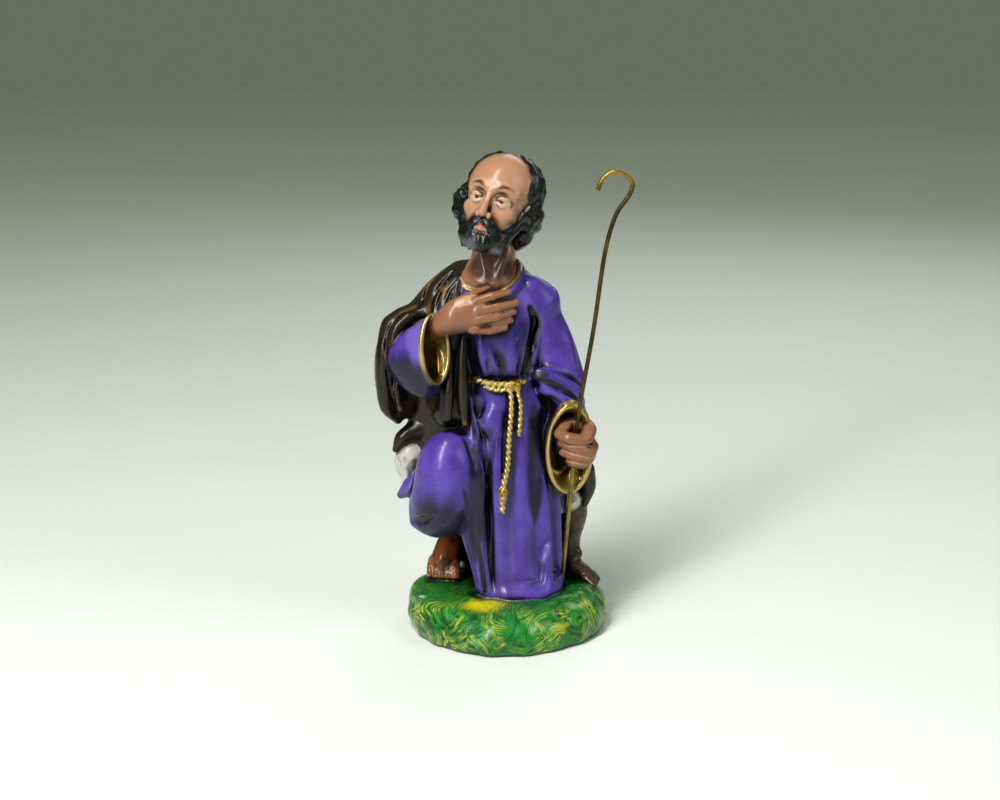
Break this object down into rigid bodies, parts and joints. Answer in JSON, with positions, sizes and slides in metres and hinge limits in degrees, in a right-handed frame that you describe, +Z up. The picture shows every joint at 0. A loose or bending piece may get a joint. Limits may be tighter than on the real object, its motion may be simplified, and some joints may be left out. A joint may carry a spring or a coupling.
{
  "type": "presepe figure",
  "caption": "Painted plaster crib figure of a kneeling bearded man with a cloak, a hand on the chest and a crooked wire staff, on a grassy mound.",
  "frame": {"origin": "centre of the flat underside of the grassy mound", "axes": "+Z up through the crown of the head, -Y towards the viewer whom the figure faces, +X towards the staff"},
  "size_m": [0.1164, 0.1009, 0.2206],
  "materials": {
    "painted_plaster": "oil paint with dark wash under a glossy varnish",
    "staff_wire": "bronzed, with lacquer"
  },
  "bodies": {
    "root": {"figure": "painted_plaster", "staff": "staff_wire"}
  },
  "joints": []
}
